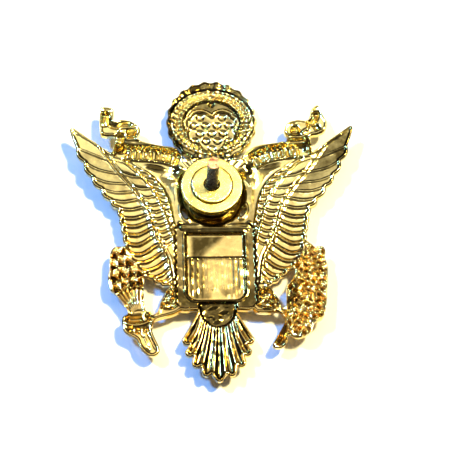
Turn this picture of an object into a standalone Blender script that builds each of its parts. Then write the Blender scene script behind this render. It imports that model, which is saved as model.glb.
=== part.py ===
"""Pierced eagle cap badge, lying on its face with its screw post upright.

The badge is one die-struck sheet, hollow at the back. A round plate is
soldered in the hollow of the neck, a threaded post stands on the plate, and a
knurled thumb nut runs on the post to clamp the badge to a cap.

Frame: millimetres until an object is placed, then metres. X runs across the
wings, Y from the tail to the top of the ring, and Z along the post. The origin
is under the middle of the badge, on the surface that its face rests on.
"""

import math

import bmesh
import bpy
from mathutils import Vector

MM = 0.001

# Sheet
SHEET_THICKNESS = 0.7
GRID_STEP = 1.35
GRID_HALF_WIDTH = 31.0
GRID_HALF_HEIGHT = 35.0
RIM_HEIGHT = 3.4
WING_SWEEP_BACK = 1.7
END_SWEEP_BACK = 0.7
HALF_SPAN = 29.2
HALF_LENGTH = 32.9
FLOOR_HEIGHT = SHEET_THICKNESS

# Ring above the eagle
RING_CENTRE = (0.0, 23.4)
RING_RADIUS = 9.3
RING_RIPPLE = 0.16
RING_RIPPLES = 22
RECESS_RADIUS = 7.2
CLOUD_RADIUS = 5.2
RING_WALL = 1.0

RING_RECESS_DEPTH = 0.9
RING_PANEL_HEIGHT = 2.1

# Wings
FEATHER_BULGE = 0.2
WING_HOLLOW_DEPTH = 0.6
WING_HOLLOW = ((17.0, 5.0), (5.0, 9.0))
WING_WALL = 3.0

# Body
BOWL_CENTRE = (-0.25, 7.27)
BOWL_FLAT_RADIUS = 5.9
BOWL_OUTER_RADIUS = 7.1
SHIELD_CENTRE = (0.0, -8.3)
SHIELD_HALF = (6.0, 7.3)
SHIELD_WALL = 0.9
FLANK_HALF = (8.2, 9.3)
SHIELD_CORNER = 1.6
FLANK_CORNER = 2.0
FLANK_WALL = 1.2
FLANK_HEIGHT = 1.7
# Hollows of the legs and of what the claws hold: centre, then half width and half height
THIGH_HOLLOW = ((9.6, -16.0), (2.7, 2.2))
THIGH_WALL = 1.2
THIGH_HEIGHT = 2.2
SPRAY_HOLLOW = ((17.6, -13.0), (3.0, 7.5))
SPRAY_WALL = 1.6
SPRAY_HEIGHT = 2.6

# Tail
TAIL_FEATHERS = 9
TAIL_ROOT = (0.0, -17.2)
TAIL_LENGTH = 14.9
TAIL_DROP = 0.36
TAIL_HALF_ANGLE = 40.0
TAIL_TIP_RADIUS = 0.95
TAIL_ROOT_HOLLOW = ((0.0, -18.2), (3.8, 3.6))
TAIL_ROOT_WALL = 1.4
TAIL_ROOT_HEIGHT = 1.6

# Fastening
POST_X = -0.45
POST_Y = 7.87
POST_RADIUS = 1.25
POST_CORE_RADIUS = 1.1
POST_TOP = 16.1
POST_CHAMFER = 0.25
THREAD_PITCH = 0.53
GROOVE_SPACING = 4.0 * THREAD_PITCH
GROOVE_SLOPE = 0.3 * THREAD_PITCH
GROOVE_FLOOR = 0.2 * THREAD_PITCH
PLATE_RADIUS = 4.5
PLATE_THICKNESS = 0.9
PLATE_CHAMFER = 0.15
SOLDER_GAP = 0.25
SOLDER_WIDTH = 0.3
SOLDER_HEIGHT = 0.4
FILLET_WIDTH = 0.9
FILLET_HEIGHT = 0.7
NUT_SEAT = 4.4
NUT_RADIUS = 6.25
NUT_THICKNESS = 1.45
NUT_CHAMFER = 0.12
DISC_RADIUS = 4.05
DISC_PROUD = 0.5
NUT_BORE_RADIUS = 1.33
NUT_SINK_RADIUS = 1.72
GAP = 0.3
GROOVE = 0.25

# Sides of the round pieces
NUT_SIDES = 48
DISC_SIDES = 40
PLATE_SIDES = 40
FILLET_SIDES = 32
POST_SIDES = 20
OVAL_SIDES = 14
TAIL_TIP_SIDES = 4
RIPPLE_SIDES = 4

# Outlines, right-hand side positive; the left wing is the right one mirrored.
WING_FRONT_EDGE = [(8.5, 14.0), (14.0, 15.2), (20.3, 16.0), (24.3, 18.5), (27.4, 20.7)]
WING_TIP = [(28.7, 21.5), (29.2, 20.9), (28.8, 19.3)]
FEATHER_NOTCHES = [
    (27.9, 17.0),
    (26.3, 13.8),
    (24.8, 10.6),
    (22.9, 8.0),
    (21.1, 5.5),
    (19.4, 3.7),
    (19.0, 1.7),
    (18.7, -0.1),
    (18.3, -2.0),
    (18.0, -4.0),
    (17.3, -6.3),
    (16.2, -8.1),
    (14.5, -10.0),
    (12.7, -11.5),
    (11.2, -12.5),
    (10.0, -13.0),
]
TORSO = [
    (-6.4, 15.0),
    (-8.8, 13.0),
    (-9.2, 6.0),
    (-9.2, -12.8),
    (-9.5, -15.5),
    (-7.6, -18.2),
    (-3.6, -18.3),
    (3.6, -18.3),
    (7.6, -18.2),
    (9.5, -15.5),
    (9.2, -12.8),
    (9.2, 6.0),
    (8.8, 13.0),
    (6.4, 15.0),
]
LEFT_LEG = [
    (-7.0, -12.6),
    (-9.3, -13.2),
    (-11.0, -15.5),
    (-11.9, -18.5),
    (-15.0, -19.2),
    (-15.0, -21.6),
    (-12.9, -21.4),
    (-12.1, -20.2),
    (-7.0, -18.1),
]
RIGHT_LEG = [
    (7.0, -12.0),
    (9.6, -12.4),
    (11.9, -15.4),
    (12.9, -17.9),
    (15.0, -18.3),
    (15.0, -20.4),
    (13.4, -20.5),
    (12.2, -18.8),
    (9.6, -19.1),
    (7.0, -18.1),
]
ARROWS = [
    (-13.6, -7.5),
    (-17.2, -5.2),
    (-18.5, -4.6),
    (-20.3, -4.8),
    (-21.1, -6.4),
    (-21.2, -9.6),
    (-21.5, -11.7),
    (-21.0, -14.0),
    (-19.8, -14.9),
    (-17.6, -18.4),
    (-18.6, -19.6),
    (-18.7, -21.3),
    (-18.1, -22.9),
    (-16.0, -24.2),
    (-15.3, -25.9),
    (-14.1, -27.3),
    (-12.8, -27.7),
    (-11.7, -27.0),
    (-11.6, -25.8),
    (-12.9, -22.4),
    (-12.9, -18.6),
    (-14.2, -17.9),
    (-14.4, -12.5),
]
BRANCH = [
    (14.6, -7.6),
    (17.6, -3.6),
    (20.0, -5.0),
    (21.5, -5.1),
    (22.1, -6.2),
    (21.9, -7.6),
    (22.3, -9.8),
    (21.9, -14.4),
    (21.6, -17.4),
    (20.8, -20.3),
    (19.0, -21.3),
    (18.4, -22.9),
    (17.0, -24.1),
    (15.3, -24.4),
    (13.8, -23.8),
    (13.5, -25.2),
    (12.4, -26.3),
    (11.2, -26.4),
    (10.6, -25.8),
    (11.4, -24.2),
    (13.2, -20.8),
    (13.0, -18.4),
    (13.7, -17.2),
    (13.9, -13.7),
    (15.1, -12.1),
    (15.9, -10.2),
    (15.5, -9.2),
]
LEFT_SCROLL = [
    (-23.1, 20.7),
    (-23.1, 26.0),
    (-22.2, 26.5),
    (-20.3, 26.0),
    (-20.2, 23.3),
    (-18.8, 23.7),
    (-16.9, 23.4),
    (-15.2, 22.4),
    (-14.8, 21.1),
    (-15.3, 19.3),
    (-11.1, 18.1),
    (-7.6, 17.4),
    (-6.0, 15.0),
    (-8.0, 12.7),
    (-12.9, 14.1),
    (-17.0, 14.3),
    (-19.4, 14.6),
    (-20.9, 15.4),
    (-20.4, 17.0),
    (-20.0, 19.6),
    (-22.1, 19.8),
]
RIGHT_SCROLL = [
    (8.0, 12.6),
    (6.0, 15.0),
    (7.4, 16.6),
    (9.7, 17.9),
    (15.3, 18.8),
    (15.0, 20.8),
    (15.7, 22.7),
    (17.7, 23.4),
    (20.0, 23.3),
    (20.8, 25.6),
    (22.3, 26.6),
    (23.0, 24.9),
    (24.0, 22.4),
    (23.4, 20.6),
    (21.9, 19.8),
    (20.4, 19.3),
    (20.6, 16.0),
    (19.5, 14.8),
    (15.9, 14.3),
    (11.4, 13.4),
]
# Neck piercings beside the plate: centre, half width, half height, tilt in degrees.
PIERCINGS = {
    "left": ((-6.0, 3.3), 1.15, 2.2, 18.0),
    "right": ((5.9, 3.5), 0.95, 1.8, -18.0),
}


def smooth_step(value, low, high):
    """0 below low, 1 above high, and a soft ramp between."""
    t = min(1.0, max(0.0, (value - low) / (high - low)))
    return t * t * (3.0 - 2.0 * t)


def box_distance(x, y, centre, half, corner):
    """Distance outside a rectangle with rounded corners, negative inside."""
    dx = abs(x - centre[0]) - half[0] + corner
    dy = abs(y - centre[1]) - half[1] + corner
    outside = math.hypot(max(dx, 0.0), max(dy, 0.0))
    return outside + min(max(dx, dy), 0.0) - corner


def oval_distance(x, y, centre, half):
    """Rough distance outside an ellipse, negative inside."""
    ratio = math.hypot((x - centre[0]) / half[0], (y - centre[1]) / half[1])
    return (ratio - 1.0) * min(half)


def back_height(x, y):
    """Height of the sheet's back above the surface that the face rests on."""
    rim = RIM_HEIGHT
    rim += WING_SWEEP_BACK * (x / HALF_SPAN) ** 2
    rim += END_SWEEP_BACK * (y / HALF_LENGTH) ** 2
    height = rim

    def sink(target, distance, wall):
        nonlocal height
        inside = 1.0 - smooth_step(distance, -wall, 0.0)
        height += (target - height) * inside

    ring = math.hypot(x - RING_CENTRE[0], y - RING_CENTRE[1])
    sink(rim - RING_RECESS_DEPTH, ring - RECESS_RADIUS, RING_WALL)
    sink(RING_PANEL_HEIGHT, ring - CLOUD_RADIUS, RING_WALL)
    across = abs(x)
    sink(rim - WING_HOLLOW_DEPTH, oval_distance(across, y, *WING_HOLLOW), WING_WALL)
    sink(THIGH_HEIGHT, oval_distance(across, y, *THIGH_HOLLOW), THIGH_WALL)
    sink(SPRAY_HEIGHT, oval_distance(across, y, *SPRAY_HOLLOW), SPRAY_WALL)
    sink(FLANK_HEIGHT, box_distance(x, y, SHIELD_CENTRE, FLANK_HALF, FLANK_CORNER), FLANK_WALL)
    sink(TAIL_ROOT_HEIGHT, oval_distance(x, y, *TAIL_ROOT_HOLLOW), TAIL_ROOT_WALL)
    sink(FLOOR_HEIGHT, box_distance(x, y, SHIELD_CENTRE, SHIELD_HALF, SHIELD_CORNER), SHIELD_WALL)
    bowl = math.hypot(x - BOWL_CENTRE[0], y - BOWL_CENTRE[1])
    sink(FLOOR_HEIGHT, bowl - BOWL_OUTER_RADIUS, BOWL_OUTER_RADIUS - BOWL_FLAT_RADIUS)
    return height


def arc(centre, radius, start, end, steps):
    """Points on a circular arc, angles in degrees."""
    points = []
    for i in range(steps + 1):
        angle = math.radians(start + (end - start) * i / steps)
        points.append((centre[0] + radius * math.cos(angle), centre[1] + radius * math.sin(angle)))
    return points


def wing_outline():
    """The right wing: front edge, tip, then one shallow lobe between each two notches."""
    points = list(WING_FRONT_EDGE) + list(WING_TIP)
    for start, end in zip(FEATHER_NOTCHES, FEATHER_NOTCHES[1:]):
        span = Vector(end) - Vector(start)
        outward = Vector((-span.y, span.x))
        for share in (0.0, 0.35, 0.7):
            point = Vector(start) + span * share
            point += outward * FEATHER_BULGE * math.sin(math.pi * share)
            points.append((point.x, point.y))
    points.append(FEATHER_NOTCHES[-1])
    points.append((8.0, -12.8))
    points.append((7.6, 5.0))
    return points


def ring_outline():
    """The ring's rippled outer edge."""
    points = []
    steps = RING_RIPPLES * RIPPLE_SIDES
    for i in range(steps):
        angle = 2.0 * math.pi * i / steps
        radius = RING_RADIUS + RING_RIPPLE * math.cos(RING_RIPPLES * angle)
        x = RING_CENTRE[0] + radius * math.cos(angle)
        y = RING_CENTRE[1] + radius * math.sin(angle)
        points.append((x, y))
    return points


def tail_outline():
    """A fan of round-ended feathers, shorter towards the sides."""
    points = [(3.4, -15.0), (-3.4, -15.0), (-4.0, -19.0)]
    for i in range(TAIL_FEATHERS):
        share = 2.0 * i / (TAIL_FEATHERS - 1) - 1.0
        angle = -90.0 + TAIL_HALF_ANGLE * share
        length = TAIL_LENGTH * (1.0 - TAIL_DROP * abs(share) ** 1.3)
        tip_x = TAIL_ROOT[0] + length * math.cos(math.radians(angle))
        tip_y = TAIL_ROOT[1] + length * math.sin(math.radians(angle))
        points += arc((tip_x, tip_y), TAIL_TIP_RADIUS, angle - 70.0, angle + 70.0, TAIL_TIP_SIDES)
    points.append((4.0, -19.0))
    return points


def oval_outline(centre, half_width, half_height, tilt):
    """An ellipse leaning by tilt degrees."""
    points = []
    turn = math.radians(tilt)
    for i in range(OVAL_SIDES):
        angle = 2.0 * math.pi * i / OVAL_SIDES
        x = half_width * math.cos(angle)
        y = half_height * math.sin(angle)
        points.append(
            (
                centre[0] + x * math.cos(turn) - y * math.sin(turn),
                centre[1] + x * math.sin(turn) + y * math.cos(turn),
            )
        )
    return points


def clear_scene():
    """Removes what the file already holds, so that a rerun gives the same scene."""
    for obj in list(bpy.data.objects):
        bpy.data.objects.remove(obj, do_unlink=True)


def collection(name):
    """A new collection in the scene."""
    made = bpy.data.collections.new(name)
    bpy.context.scene.collection.children.link(made)
    return made


def material(name, colour, roughness, metallic=1.0):
    """A Principled material."""
    made = bpy.data.materials.new(name)
    made.use_nodes = True
    shader = made.node_tree.nodes["Principled BSDF"]
    shader.inputs["Base Color"].default_value = (*colour, 1.0)
    shader.inputs["Roughness"].default_value = roughness
    shader.inputs["Metallic"].default_value = metallic
    made.diffuse_color = (*colour, 1.0)
    return made


def add_object(name, mesh, home):
    """Links a mesh as a named object."""
    obj = bpy.data.objects.new(name, mesh)
    home.objects.link(obj)
    return obj


def extruded_outline(name, points, low, high, home):
    """A flat outline given thickness between two heights, as a closed mesh."""
    curve = bpy.data.curves.new(name, "CURVE")
    curve.dimensions = "2D"
    curve.fill_mode = "BOTH"
    curve.extrude = (high - low) / 2.0 * MM
    spline = curve.splines.new("POLY")
    spline.points.add(len(points) - 1)
    for target, point in zip(spline.points, points):
        target.co = (point[0] * MM, point[1] * MM, 0.0, 1.0)
    spline.use_cyclic_u = True
    flat = bpy.data.objects.new(name + "_outline", curve)
    home.objects.link(flat)
    flat.location.z = (low + high) / 2.0 * MM
    bpy.context.view_layer.update()
    mesh = bpy.data.meshes.new_from_object(flat.evaluated_get(bpy.context.evaluated_depsgraph_get()))
    mesh.transform(flat.matrix_world)
    bpy.data.objects.remove(flat, do_unlink=True)
    weld_mesh(mesh)
    return add_object(name, mesh, home)


def weld_mesh(mesh):
    """Joins a mesh's coincident points and turns its faces outwards."""
    work = bmesh.new()
    work.from_mesh(mesh)
    bmesh.ops.remove_doubles(work, verts=work.verts, dist=0.001 * MM)
    bmesh.ops.recalc_face_normals(work, faces=work.faces)
    work.to_mesh(mesh)
    work.free()


def boolean(target, cutter, operation):
    """An exact Boolean modifier on target."""
    modifier = target.modifiers.new(operation.lower() + "_" + cutter.name, "BOOLEAN")
    modifier.operation = operation
    modifier.object = cutter
    modifier.solver = "EXACT"


def hide_guide(obj):
    """Marks a cutter, which is not part of the badge."""
    obj.hide_render = True
    obj.display_type = "WIRE"


def turned(name, profile, steps, home):
    """A solid turned round the post's axis from (radius, height) points, outer side first, top to bottom."""
    mesh = bpy.data.meshes.new(name)
    work = bmesh.new()
    verts = [work.verts.new((radius * MM, 0.0, height * MM)) for radius, height in profile]
    closed = profile[0][0] > 0.0
    for a, b in zip(verts, verts[1:]):
        work.edges.new((a, b))
    if closed:
        work.edges.new((verts[-1], verts[0]))
    work.to_mesh(mesh)
    work.free()
    obj = add_object(name, mesh, home)
    obj.location = (POST_X * MM, POST_Y * MM, 0.0)
    screw = obj.modifiers.new("turn", "SCREW")
    screw.axis = "Z"
    screw.angle = 2.0 * math.pi
    screw.steps = steps
    screw.render_steps = steps
    screw.use_merge_vertices = True
    screw.merge_threshold = 0.002 * MM
    return obj


def build_outline(home):
    """The badge's whole silhouette as one tall solid that cuts the sheet to shape."""
    right_wing = wing_outline()
    left_wing = [(-x, y) for x, y in reversed(right_wing)]
    shapes = {
        "torso_shape": TORSO,
        "wing_right_shape": right_wing,
        "wing_left_shape": left_wing,
        "ring_shape": ring_outline(),
        "tail_shape": tail_outline(),
        "leg_left_shape": LEFT_LEG,
        "leg_right_shape": RIGHT_LEG,
        "arrows_shape": ARROWS,
        "branch_shape": BRANCH,
        "scroll_left_shape": LEFT_SCROLL,
        "scroll_right_shape": RIGHT_SCROLL,
    }
    whole = None
    for i, (name, points) in enumerate(shapes.items()):
        reach = 0.2 * i
        shape = extruded_outline(name, points, -4.0 - reach, 9.0 + reach, home)
        hide_guide(shape)
        if whole is None:
            whole = shape
        else:
            boolean(whole, shape, "UNION")
    return whole


def build_shell(home, cutters):
    """The struck sheet: a shaped grid given its thickness, then cut to the silhouette."""
    mesh = bpy.data.meshes.new("eagle_shell")
    work = bmesh.new()
    columns = round(2.0 * GRID_HALF_WIDTH / GRID_STEP)
    rows = round(2.0 * GRID_HALF_HEIGHT / GRID_STEP)
    bmesh.ops.create_grid(work, x_segments=columns, y_segments=rows, size=1.0)
    for vert in work.verts:
        x = vert.co.x * GRID_HALF_WIDTH
        y = vert.co.y * GRID_HALF_HEIGHT
        vert.co = Vector((x, y, back_height(x, y))) * MM
    work.to_mesh(mesh)
    work.free()
    shell = add_object("eagle_shell", mesh, home)
    sheet = shell.modifiers.new("sheet", "SOLIDIFY")
    sheet.thickness = SHEET_THICKNESS * MM
    sheet.offset = -1.0
    boolean(shell, build_outline(cutters), "INTERSECT")
    for side, (centre, half_width, half_height, tilt) in PIERCINGS.items():
        points = oval_outline(centre, half_width, half_height, tilt)
        hole = extruded_outline("piercing_" + side, points, -5.0, 9.0, cutters)
        hide_guide(hole)
        boolean(shell, hole, "DIFFERENCE")
    shell.data.materials.append(material("gilt_brass", (0.83, 0.62, 0.22), 0.22))
    return shell


def build_plate(home):
    """The round plate soldered in the hollow of the neck."""
    low = FLOOR_HEIGHT + GAP
    high = low + PLATE_THICKNESS
    profile = [
        (0.0, high),
        (PLATE_RADIUS - PLATE_CHAMFER, high),
        (PLATE_RADIUS, high - PLATE_CHAMFER),
        (PLATE_RADIUS, low),
        (0.0, low),
    ]
    plate = turned("post_plate", profile, PLATE_SIDES, home)
    plate.data.materials.append(material("plate_brass", (0.42, 0.33, 0.16), 0.45))
    return high


def build_plate_solder(home):
    """The bead of solder round the plate."""
    inner = PLATE_RADIUS + SOLDER_GAP
    low = FLOOR_HEIGHT + GAP + SOLDER_HEIGHT
    profile = [(inner, low + SOLDER_HEIGHT), (inner + SOLDER_WIDTH, low), (inner, low)]
    bead = turned("plate_solder", profile, PLATE_SIDES, home)
    bead.data.materials.append(material("plate_solder_grey", (0.42, 0.41, 0.38), 0.5))


def build_post(home, plate_top):
    """The threaded post: ring grooves stand for its helical thread."""
    low = plate_top + GAP
    profile = [(0.0, POST_TOP), (POST_RADIUS - POST_CHAMFER, POST_TOP)]
    height = POST_TOP - POST_CHAMFER
    grooves = int((height - low - FILLET_HEIGHT) / GROOVE_SPACING)
    for _ in range(grooves):
        next_height = height - GROOVE_SPACING
        floor_low = next_height + GROOVE_SLOPE
        floor_high = floor_low + GROOVE_FLOOR
        profile.append((POST_RADIUS, height))
        profile.append((POST_RADIUS, floor_high + GROOVE_SLOPE))
        profile.append((POST_CORE_RADIUS, floor_high))
        profile.append((POST_CORE_RADIUS, floor_low))
        height = next_height
    profile.append((POST_RADIUS, height))
    profile.append((POST_RADIUS, low))
    profile.append((0.0, low))
    post = turned("screw_post", profile, POST_SIDES, home)
    post.data.materials.append(material("post_brass", (0.33, 0.24, 0.13), 0.35))


def build_post_solder(home, plate_top):
    """The fillet of solder at the post's foot."""
    inner = POST_RADIUS + GAP
    low = plate_top + GAP
    waist = (inner + 0.3 * FILLET_WIDTH, low + 0.4 * FILLET_HEIGHT)
    profile = [(inner, low + FILLET_HEIGHT), waist, (inner + FILLET_WIDTH, low), (inner, low)]
    fillet = turned("post_solder", profile, FILLET_SIDES, home)
    fillet.data.materials.append(material("post_solder_grey", (0.46, 0.45, 0.42), 0.45))


def build_nut(home):
    """The thumb nut: a knurled outer ring round a threaded centre disc."""
    top = NUT_SEAT + NUT_THICKNESS
    inner = DISC_RADIUS + GROOVE
    ring_profile = [
        (NUT_RADIUS - NUT_CHAMFER, top),
        (NUT_RADIUS, top - NUT_CHAMFER),
        (NUT_RADIUS, NUT_SEAT + NUT_CHAMFER),
        (NUT_RADIUS - NUT_CHAMFER, NUT_SEAT),
        (inner, NUT_SEAT),
        (inner, top),
    ]
    ring = turned("nut_ring", ring_profile, NUT_SIDES, home)
    ring.data.materials.append(material("nut_ring_brass", (0.88, 0.74, 0.36), 0.38))
    disc_top = top + DISC_PROUD
    disc_profile = [
        (DISC_RADIUS - NUT_CHAMFER, disc_top),
        (DISC_RADIUS, disc_top - NUT_CHAMFER),
        (DISC_RADIUS, NUT_SEAT),
        (NUT_BORE_RADIUS, NUT_SEAT),
        (NUT_BORE_RADIUS, disc_top - (NUT_SINK_RADIUS - NUT_BORE_RADIUS)),
        (NUT_SINK_RADIUS, disc_top),
    ]
    disc = turned("nut_centre", disc_profile, DISC_SIDES, home)
    disc.data.materials.append(material("nut_centre_brass", (0.86, 0.70, 0.30), 0.36))


def shade_round_pieces(home):
    """Smooth shading on the turned pieces, with their edges kept crisp."""
    for obj in home.objects:
        if obj.name != "eagle_shell":
            obj.data.shade_smooth()
            obj.data.set_sharp_from_angle(angle=math.radians(35.0))


def build():
    """Builds every piece of the badge."""
    clear_scene()
    badge = collection("cap_badge")
    cutters = collection("cutters")
    build_shell(badge, cutters)
    plate_top = build_plate(badge)
    build_plate_solder(badge)
    build_post(badge, plate_top)
    build_post_solder(badge, plate_top)
    build_nut(badge)
    shade_round_pieces(badge)


build()
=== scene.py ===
"""Looks of the pierced eagle cap badge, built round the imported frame.

Sizes in this script are millimetres in the frame's axes, and MM turns them into
metres. The struck sheet is a height field: `back` is the height of its back at
each grid point, and each part of the badge lays its relief into it. The sheet's
outline comes from a distance field that is negative inside the metal.
"""

import math

import bpy
import numpy as np
from mathutils import Matrix, Vector


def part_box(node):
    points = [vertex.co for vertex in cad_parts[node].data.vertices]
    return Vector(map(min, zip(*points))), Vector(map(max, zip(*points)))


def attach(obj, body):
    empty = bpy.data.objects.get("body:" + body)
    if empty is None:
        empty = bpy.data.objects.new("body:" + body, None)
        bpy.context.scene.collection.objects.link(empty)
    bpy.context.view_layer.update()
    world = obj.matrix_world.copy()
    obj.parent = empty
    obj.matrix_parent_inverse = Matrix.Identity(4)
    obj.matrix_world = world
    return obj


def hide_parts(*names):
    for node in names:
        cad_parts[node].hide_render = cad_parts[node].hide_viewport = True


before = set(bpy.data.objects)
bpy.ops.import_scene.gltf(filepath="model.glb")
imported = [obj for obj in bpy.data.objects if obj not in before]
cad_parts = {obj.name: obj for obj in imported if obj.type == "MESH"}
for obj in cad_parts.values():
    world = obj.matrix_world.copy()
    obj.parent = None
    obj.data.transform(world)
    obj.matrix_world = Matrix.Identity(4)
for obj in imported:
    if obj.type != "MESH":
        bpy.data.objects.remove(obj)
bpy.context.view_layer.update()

MM = 0.001
# The grid's pitch, and the struck metal's thickness
STEP = 0.14
SHEET = 0.7

# The sheet's general form
RIM = 3.4
WING_SWEEP_BACK = 1.7
END_SWEEP_BACK = 0.7
HALF_SPAN = 29.2
HALF_LENGTH = 32.9
RING_CENTRE = (0.0, 23.4)
RING_RADIUS = 9.3
RING_RIPPLE = 0.16
RING_RIPPLES = 22
BOWL_CENTRE = (-0.25, 7.27)
BOWL_FLAT_RADIUS = 5.9
BOWL_OUTER_RADIUS = 7.1
SHIELD_CENTRE = (0.0, -8.3)
SHIELD_HALF = (6.0, 7.3)
FLANK_HALF = (8.2, 9.3)
FLANK_CORNER = 1.8
FLANK_HEIGHT = 2.1
CHIEF_HEIGHT = 1.3
FIELD_HEIGHT = 1.1
CHIEF_FOOT = -6.2
FLUTES = 11
THROAT_HEIGHT = 2.4
TAIL_ROOT_HEIGHT = 1.7
LEAF_BASE = 2.1
TAIL_FEATHERS = 9
TAIL_ROOT = (0.0, -17.2)
TAIL_LENGTH = 14.9
TAIL_DROP = 0.36
TAIL_HALF_ANGLE = 40.0
TAIL_TIP_RADIUS = 0.95

# The right wing, which the left one mirrors: its front edge and its tip
WING_FRONT = [(8.5, 14.0), (14.0, 15.2), (20.3, 16.0), (24.3, 18.5), (27.4, 20.7)]
WING_TIP = [(28.7, 21.5), (29.2, 20.9), (28.8, 19.3)]
# One line between each two feathers: where it leaves the edge, its middle and its root
FEATHER_LINES = [
    [(27.9, 17.0), (25.2, 15.9), (21.2, 14.3)], [(26.3, 13.8), (23.4, 12.2), (19.3, 11.4)],
    [(24.8, 10.6), (21.6, 9.4), (17.7, 9.2)], [(22.9, 8.0), (19.8, 7.2), (16.2, 7.5)],
    [(21.1, 5.5), (18.0, 5.2), (14.8, 6.0)], [(19.4, 3.7), (16.6, 3.5), (13.5, 4.4)],
    [(19.0, 1.7), (16.0, 1.6), (13.0, 2.8)], [(18.7, -0.1), (15.8, -0.2), (12.7, 1.2)],
    [(18.3, -2.0), (15.4, -2.1), (12.2, -0.3)], [(18.0, -4.0), (15.2, -4.2), (11.8, -1.9)],
    [(17.3, -6.3), (14.6, -6.3), (11.2, -3.9)], [(16.2, -8.1), (13.4, -7.8), (10.0, -5.2)],
    [(14.5, -10.0), (11.9, -9.2), (9.2, -6.9)], [(12.7, -11.5), (10.7, -10.7), (8.8, -8.7)],
    [(11.2, -12.5), (9.9, -11.8), (8.5, -10.3)], [(10.0, -13.0), (9.3, -12.5), (8.3, -11.6)],
]
FEATHER_BULGE = 0.2
# Where the flight feathers end and the coverts begin, and the lines between the coverts
COVERT_EDGE = [
    (21.4, 14.9), (19.3, 11.9), (16.6, 8.7), (14.6, 5.9), (13.3, 3.6), (12.7, 1.3), (11.9, -1.4),
    (10.6, -4.4), (9.3, -7.4), (8.5, -12.3),
]
COVERT_LINES = [
    [(21.4, 14.9), (19.4, 14.5), (17.4, 13.8)], [(19.3, 11.9), (16.8, 11.0), (14.6, 10.9)],
    [(16.9, 8.9), (14.8, 8.2), (12.6, 8.4)], [(15.3, 6.7), (13.3, 6.3), (11.6, 6.8)],
    [(13.9, 4.8), (12.3, 4.6), (10.7, 5.1)], [(13.2, 3.2), (11.7, 3.1), (10.2, 3.7)],
    [(12.8, 1.7), (11.3, 1.6), (9.8, 2.3)], [(12.4, 0.3), (10.9, 0.2), (9.4, 0.9)],
    [(11.9, -1.2), (10.5, -1.3), (9.0, -0.6)], [(11.4, -2.6), (10.1, -2.7), (8.7, -1.9)],
    [(10.8, -4.1), (9.6, -4.2), (8.4, -3.4)],
]
# The edge of the small coverts, the leading edge, and the channel behind it
INNER_EDGE = [
    (17.6, 14.0), (15.6, 12.2), (13.8, 10.3), (12.3, 8.2), (11.0, 5.8), (10.0, 3.2), (9.2, 0.4),
    (8.4, -2.4),
]
LEADING_EDGE = [
    (15.0, 13.2), (12.4, 11.2), (10.6, 9.0), (9.5, 6.5), (8.9, 4.2), (8.4, 2.0), (7.8, -0.6),
]
CHANNEL = [(14.6, 12.2), (11.4, 10.9), (9.1, 8.3), (7.9, 5.2), (7.5, 2.0), (7.4, -1.0)]

# Outlines of the badge's other parts
TORSO = [
    (-6.4, 15.0), (-8.8, 13.0), (-9.2, 6.0), (-9.2, -12.8), (-9.5, -15.5), (-7.6, -18.2),
    (-3.6, -18.3), (3.6, -18.3), (7.6, -18.2), (9.5, -15.5), (9.2, -12.8), (9.2, 6.0), (8.8, 13.0),
    (6.4, 15.0),
]
LEFT_LEG = [
    (-7.0, -12.6), (-9.3, -13.2), (-11.0, -15.5), (-11.9, -18.5), (-15.0, -19.2), (-15.0, -21.6),
    (-12.9, -21.4), (-12.1, -20.2), (-7.0, -18.1),
]
RIGHT_LEG = [
    (7.0, -12.0), (9.6, -12.4), (11.9, -15.4), (12.9, -17.9), (15.0, -18.3), (15.0, -20.4),
    (13.4, -20.5), (12.2, -18.8), (9.6, -19.1), (7.0, -18.1),
]
ARROWS = [
    (-13.6, -7.5), (-17.2, -5.2), (-18.5, -4.6), (-20.3, -4.8), (-21.1, -6.4), (-21.2, -9.6),
    (-21.5, -11.7), (-21.0, -14.0), (-19.8, -14.9), (-17.6, -18.4), (-18.6, -19.6), (-18.7, -21.3),
    (-18.1, -22.9), (-16.0, -24.2), (-15.3, -25.9), (-14.1, -27.3), (-12.8, -27.7), (-11.7, -27.0),
    (-11.6, -25.8), (-12.9, -22.4), (-12.9, -18.6), (-14.2, -17.9), (-14.4, -12.5),
]
BRANCH = [
    (14.6, -7.6), (17.6, -3.6), (20.0, -5.0), (21.5, -5.1), (22.1, -6.2), (21.9, -7.6),
    (22.3, -9.8), (21.9, -14.4), (21.6, -17.4), (20.8, -20.3), (19.0, -21.3), (18.4, -22.9),
    (17.0, -24.1), (15.3, -24.4), (13.8, -23.8), (13.5, -25.2), (12.4, -26.3), (11.2, -26.4),
    (10.6, -25.8), (11.4, -24.2), (13.2, -20.8), (13.0, -18.4), (13.7, -17.2), (13.9, -13.7),
    (15.1, -12.1), (15.9, -10.2), (15.5, -9.2),
]
LEFT_SCROLL = [
    (-23.1, 20.7), (-23.1, 26.0), (-22.2, 26.5), (-20.3, 26.0), (-20.2, 23.3), (-18.8, 23.7),
    (-16.9, 23.4), (-15.2, 22.4), (-14.8, 21.1), (-15.3, 19.3), (-11.1, 18.1), (-7.6, 17.4),
    (-6.0, 15.0), (-8.0, 12.7), (-12.9, 14.1), (-17.0, 14.3), (-19.4, 14.6), (-20.9, 15.4),
    (-20.4, 17.0), (-20.0, 19.6), (-22.1, 19.8),
]
RIGHT_SCROLL = [
    (8.0, 12.6), (6.0, 15.0), (7.4, 16.6), (9.7, 17.9), (15.3, 18.8), (15.0, 20.8), (15.7, 22.7),
    (17.7, 23.4), (20.0, 23.3), (20.8, 25.6), (22.3, 26.6), (23.0, 24.9), (24.0, 22.4),
    (23.4, 20.6), (21.9, 19.8), (20.4, 19.3), (20.6, 16.0), (19.5, 14.8), (15.9, 14.3),
    (11.4, 13.4),
]
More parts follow.
